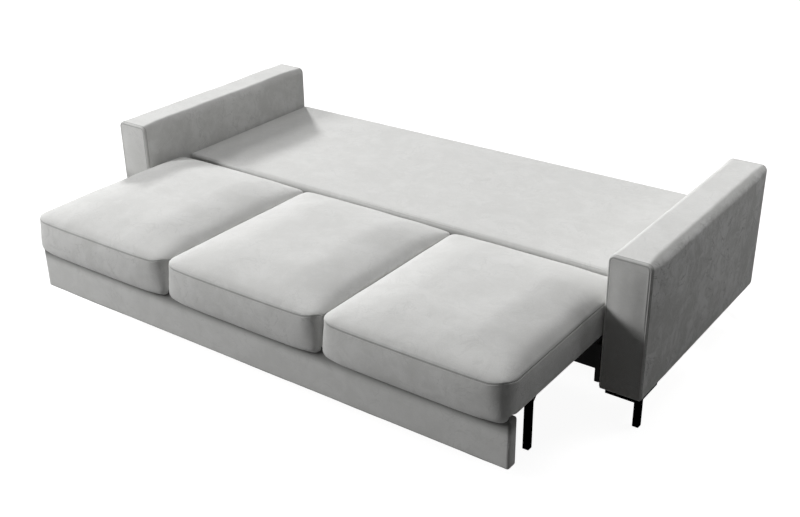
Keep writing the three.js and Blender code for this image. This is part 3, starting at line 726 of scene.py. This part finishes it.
def inflate(piece, held):
    """Lets cloth under pressure swell, held at some points, and gives the moved points."""
    group = piece.vertex_groups.new(name="held")
    for weight in sorted(set(held[held > 0].tolist())):
        group.add(np.flatnonzero(held == weight).tolist(), weight, "REPLACE")
    modifier = piece.modifiers.new("cloth", "CLOTH")
    cloth = modifier.settings
    cloth.quality = 6
    cloth.mass = 0.25
    cloth.tension_stiffness = 25
    cloth.compression_stiffness = 18
    cloth.shear_stiffness = 8
    cloth.bending_stiffness = 1.2
    cloth.air_damping = 3
    cloth.use_pressure = True
    cloth.uniform_pressure_force = SIM_PRESSURE
    cloth.vertex_group_mass = "held"
    cloth.effector_weights.gravity = 0
    modifier.collision_settings.use_collision = False
    modifier.point_cache.frame_start = 1
    modifier.point_cache.frame_end = SIM_FRAMES
    scene = bpy.context.scene
    for step in range(1, SIM_FRAMES + 1):
        scene.frame_set(step)
    result = piece.evaluated_get(bpy.context.evaluated_depsgraph_get()).data
    moved = np.empty(len(result.vertices) * 3)
    result.vertices.foreach_get("co", moved)
    scene.frame_set(1)
    return moved.reshape(-1, 3)


def crown_height(inset_x, inset_y):
    """The top's height over its seam, by distance in from two edges: a tight roll and a wide swell."""
    tight = wide = 1.0
    for inset in (inset_x, inset_y):
        tight = tight * np.sqrt(1 - (1 - np.clip(inset / ROLL_WIDTH, 0, 1)) ** 2)
        wide = wide * (1 - (1 - np.clip(inset / CROWN_WIDTH, 0, 1)) ** CROWN_POWER)
    return ROLL * tight + CROWN * wide


class CushionForm:
    """The plain form of a boxed seat cushion: a full band with round corners under a crowned top."""

    def __init__(self, place):
        box_low, box_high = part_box(f"seat_cushion_{place}")
        deck_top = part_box("seat_deck")[1].z
        self.centre = (box_low.x + box_high.x) / 2
        self.half = (box_high.x - box_low.x) / 2
        self.seam_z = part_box("back_cover")[1].z - SEAM_BELOW_PANEL
        self.low = np.array([self.centre - self.half, box_low.y - FRONT_PROUD, deck_top + DECK_GAP])
        self.high = np.array([
            self.centre + self.half, box_high.y + REAR_PROUD, self.seam_z + EDGE_ABOVE_SEAM,
        ])

    def rounded_box(self, flat, level):
        """The band's box, rounded: its edges tighter above the middle, its corners tighter at the rear."""
        low, high, half = self.low, self.high, self.half
        middle = (low[1] + high[1]) / 2
        near_side = smooth(np.abs(flat[:, 0] - self.centre), half - LOW_SIDE_BLEND, half)
        low_edge = LOW_EDGE + (LOW_SIDE_EDGE - LOW_EDGE) * near_side
        edge = low_edge + (TOP_EDGE - low_edge) * smooth(level, *BAND_MIDDLE)
        front = smooth(-flat[:, 1], -middle - CORNER_BLEND, -middle + CORNER_BLEND)
        front_corner = FRONT_CORNER_BELOW + (FRONT_CORNER - FRONT_CORNER_BELOW) * smooth(level, 0.0, 1.0)
        return rounded(flat, low, high, edge, REAR_CORNER + (front_corner - REAR_CORNER) * front)

    def shape(self, flat):
        """Points of the form for points on its box."""
        low, high = self.low, self.high
        level = (flat[:, 2] - low[2]) / (high[2] - low[2])
        points = self.rounded_box(flat, level)
        u = np.clip((points[:, 0] - self.centre) / self.half, -1, 1)
        v = np.clip(2 * (points[:, 1] - low[1]) / (high[1] - low[1]) - 1, -1, 1)
        inset_x = (1 - np.abs(u)) * self.half
        inset_y = np.minimum(points[:, 1] - low[1], high[1] - points[:, 1])
        belly = np.sin(math.pi * np.clip(level, 0, 1)) ** BELLY_POWER
        pinch = SIDE_PINCH * (1 - v * v) * smooth(level, *PINCH_LEVELS)
        points[:, 2] += crown_height(inset_x, inset_y) * smooth(level, *CROWN_LEVELS)
        points[:, 0] += np.sign(u) * smooth(np.abs(u), *RIM) * (SIDE_BULGE * belly - pinch)
        points[:, 1] -= smooth(-v, *RIM) * (FRONT_BOW + FRONT_BULGE * belly) * (1 - u ** 4)
        return points

    def swelling(self):
        """How cloth over the form swells, on an even block, held on the deck and half held at the seam."""
        low, high, step = self.low, self.high, CUSHION_STEP
        even = Block(*(np.linspace(low[a], high[a], int((high[a] - low[a]) / step) + 1) for a in range(3)))
        start = self.shape(even.flat)
        form = make_object("form", start, even.quads, finishes["velour"])
        at_seam = np.abs(even.flat[:, 2] - self.seam_z) < step * 0.5
        on_deck = even.flat[:, 2] < low[2] + TOUCHING
        swell = inflate(form, np.where(on_deck, 1.0, np.where(at_seam, SEAM_HOLD, 0.0))) - start
        bpy.data.objects.remove(form)
        caps = np.array([SIDE_SWELL, SIDE_SWELL, TOP_SWELL])
        return even, caps * np.tanh(swell / caps)


def cushion_block(form, nose_rear):
    """The cushion's box with close rows at its corners, beside the seam and behind the nose."""
    low, high, step = form.low, form.high, CUSHION_STEP
    return Block(
        rows(low[0], high[0], step, (low[0] + SIDE_ROWS, high[0] - SIDE_ROWS), FRONT_CORNER),
        rows(low[1], high[1], step, (low[1] + SIDE_ROWS, nose_rear, high[1] - SIDE_ROWS), FRONT_CORNER),
        rows(low[2], high[2], step, (form.seam_z,), LOW_ROWS),
    )


def unevenness(points, form, top, seed):
    """Small puckers by the front seam and a soft waviness, most of it on the top."""
    from_front = points[:, 1] - form.low[1]
    near_seam = np.exp(-((points[:, 2] - form.seam_z) / PUCKER_HEIGHT) ** 2)
    near_front = np.exp(-((from_front - PUCKER_PLACE) / PUCKER_WIDTH) ** 2)
    pucker = ripple(points * PUCKER_STRETCH, PUCKER_LENGTH, seed) * near_front
    soft = UNEVEN * ripple(points, UNEVEN_LENGTH, seed + 5)
    return PUCKER * pucker * near_seam + soft * (UNEVEN_SIDE_SHARE + (1 - UNEVEN_SIDE_SHARE) * top)


def lay_down(points, flat, form, nose_rear):
    """Rests a cushion on the deck and over the fascia, its nose left hanging before the fascia."""
    fascia_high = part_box("fascia_cover")[1]
    bottom = form.low[2]
    lift = fascia_high.z + FASCIA_GAP - bottom
    over = smooth(flat[:, 1], nose_rear - STEP_BEFORE, nose_rear + STEP_BEHIND)
    over = over * (1 - smooth(flat[:, 1], fascia_high.y + LAP_FROM, fascia_high.y + LAP_TO))
    points[:, 2] = np.maximum(points[:, 2], bottom)
    points[:, 2] += lift * over * (1 - smooth(points[:, 2], bottom, bottom + LIFT_REACH))


def keep_clear(points, form, place):
    """Keeps a cushion clear of its neighbours and, for the outer ones, of the arms."""
    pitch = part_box("seat_cushion_left")[1].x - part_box("seat_cushion_centre")[1].x
    room = 0.5 * (pitch - CUSHION_GAP)
    left_room, right_room = (room + (OUTER_ROOM if place == side else 0) for side in ("left", "right"))
    points[:, 0] = np.clip(points[:, 0], form.centre - right_room, form.centre + left_room)


def cushion(place):
    """A boxed seat cushion: crowned top, full band with a seam round its top, a nose before the fascia."""
    form = CushionForm(place)
    nose_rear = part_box("fascia_cover")[0].y - NOSE_GAP
    even, swell = form.swelling()
    block = cushion_block(form, nose_rear)
    points = form.shape(block.flat) + even.field(block.flat, swell)
    normal = normals_of(points, block.quads)
    top = smooth(normal[:, 2], *TOP_FACING)
    upright = smooth(1 - np.abs(normal[:, 2]), *SIDE_FACING)
    move, mark = seam_profile(block.flat[:, 2] - form.seam_z)
    relief = move * upright + unevenness(points, form, top, CUSHION_SEEDS[place])
    points = points + normal * relief[:, None]
    lay_down(points, block.flat, form, nose_rear)
    keep_clear(points, form, place)
    nap = CUSHION_SIDE_NAP + (CUSHION_NAP - CUSHION_SIDE_NAP) * top
    piece = make_object(
        f"cushion_{place}", points, block.quads, finishes["velour"], seam=mark * upright, nap=nap,
    )
    place_piece(piece, "seat", "velour", f"seat_cushion_{place}")


for place in ("right", "centre", "left"):
    cushion(place)
for side in ("left", "right"):
    arm_cover(side)
padded_panel(
    "cover_back", "back_cover", "backrest", PANEL_STEP, PANEL_EDGE,
    PANEL_WAVES, PANEL_SEED, PANEL_NAP, back_hollow, panel_fold,
)
padded_panel(
    "cover_fascia", "fascia_cover", "seat", FASCIA_STEP, FASCIA_EDGE,
    FASCIA_WAVES, FASCIA_SEED, FASCIA_NAP, fascia_hollow, fascia_fold, FASCIA_SAG,
)


# Floor and surround

FLOOR_REACH = 30.0
FLOOR_COLOUR = (0.25, 0.25, 0.25, 1.0)
FLOOR_GLOW = 0.94
WORLD_LIGHT = 0.03


def seen_directly(graph):
    """1 for rays from the camera, off gloss or through glass, else 0."""
    path = graph.add("ShaderNodeLightPath").outputs
    gloss = graph.maths("MAXIMUM", path["Is Glossy Ray"], path["Is Transmission Ray"])
    return graph.maths("MAXIMUM", path["Is Camera Ray"], gloss)


def plain_floor():
    """A pale floor that looks white to the camera but still shows the object's shadow."""
    reach = FLOOR_REACH
    mesh = bpy.data.meshes.new("floor")
    corners = [(-reach, -reach, 0), (reach, -reach, 0), (reach, reach, 0), (-reach, reach, 0)]
    mesh.from_pydata(corners, [], [(0, 1, 2, 3)])
    floor = bpy.data.objects.new("floor", mesh)
    bpy.context.scene.collection.objects.link(floor)
    shader = Shader(
        "floor", Base_Color=FLOOR_COLOUR, Roughness=1.0, Specular_IOR_Level=0.0, Emission_Color=WHITE,
    )
    glow = shader.times(seen_directly(shader), FLOOR_GLOW)
    mesh.materials.append(shader.finish(Emission_Strength=glow))


def world():
    """An even white surround: faint light on the object, pure white where it is seen."""
    surround = bpy.data.worlds.new("surround")
    bpy.context.scene.world = surround
    surround.use_nodes = True
    graph = Graph(surround.node_tree)
    background = graph.tree.nodes["Background"]
    background.inputs["Color"].default_value = WHITE
    levels = {"To Min": WORLD_LIGHT, "To Max": 1.0}
    strength = graph.add("ShaderNodeMapRange", {"Value": seen_directly(graph)}, levels)
    graph.tree.links.new(strength.outputs["Result"], background.inputs["Strength"])


# Light and camera

SOFTBOXES = {    # place, aim, side of the square, watts
    "key_rear": ((-12.1, 9.9, 6.4), (-0.4, 0.3, 0.4), 1.5, 2280),
    "key_front": ((-4.2, -3.9, 3.1), (0.5, -0.2, 0.35), 1.5, 256),
    "top_left": ((-2.5, 1.0, 5.0), (-0.2, 0.0, 0.3), 1.5, 28),
    "top": ((0.8, 0.6, 5.0), (0.1, 0.0, 0.3), 2.0, 65),
    "fill": ((2.1, 1.0, 1.85), (1.15, 0.3, 0.5), 0.6, 7.5),
}
CAMERA_PLACE = Vector((2.2670, -2.9883, 2.0576))
CAMERA_AZIMUTH, CAMERA_ELEVATION, CAMERA_ROLL = (math.radians(a) for a in (36.122, 26.295, -0.801))
LENS, SENSOR_WIDTH = 50.27, 36.0      # mm
CLIP_END = 100.0


def softbox(name, place, target, side, watts):
    lamp = bpy.data.lights.new(name, "AREA")
    lamp.shape = "SQUARE"
    lamp.size = side
    lamp.energy = watts
    box = bpy.data.objects.new(name, lamp)
    box.location = place
    aim = Vector(target) - Vector(place)
    box.rotation_euler = aim.to_track_quat("-Z", "Y").to_euler()
    bpy.context.scene.collection.objects.link(box)


def camera():
    """The photograph's view, found from the object's edges in it."""
    back = Vector((
        math.sin(CAMERA_AZIMUTH) * math.cos(CAMERA_ELEVATION),
        -math.cos(CAMERA_AZIMUTH) * math.cos(CAMERA_ELEVATION),
        math.sin(CAMERA_ELEVATION),
    ))
    level = Vector((math.cos(CAMERA_AZIMUTH), math.sin(CAMERA_AZIMUTH), 0))
    rise = back.cross(level)
    right = level * math.cos(CAMERA_ROLL) + rise * math.sin(CAMERA_ROLL)
    up = rise * math.cos(CAMERA_ROLL) - level * math.sin(CAMERA_ROLL)
    lens = bpy.data.cameras.new("camera")
    lens.sensor_width = SENSOR_WIDTH
    lens.lens = LENS
    lens.clip_end = CLIP_END
    eye = bpy.data.objects.new("camera", lens)
    eye.matrix_world = Matrix((
        (right.x, up.x, back.x, CAMERA_PLACE.x),
        (right.y, up.y, back.y, CAMERA_PLACE.y),
        (right.z, up.z, back.z, CAMERA_PLACE.z),
        (0, 0, 0, 1),
    ))
    bpy.context.scene.collection.objects.link(eye)
    bpy.context.scene.camera = eye


plain_floor()
world()
for name, values in SOFTBOXES.items():
    softbox(name, *values)
camera()
bpy.context.scene.view_settings.view_transform = "Standard"

bpy.context.view_layer.update()
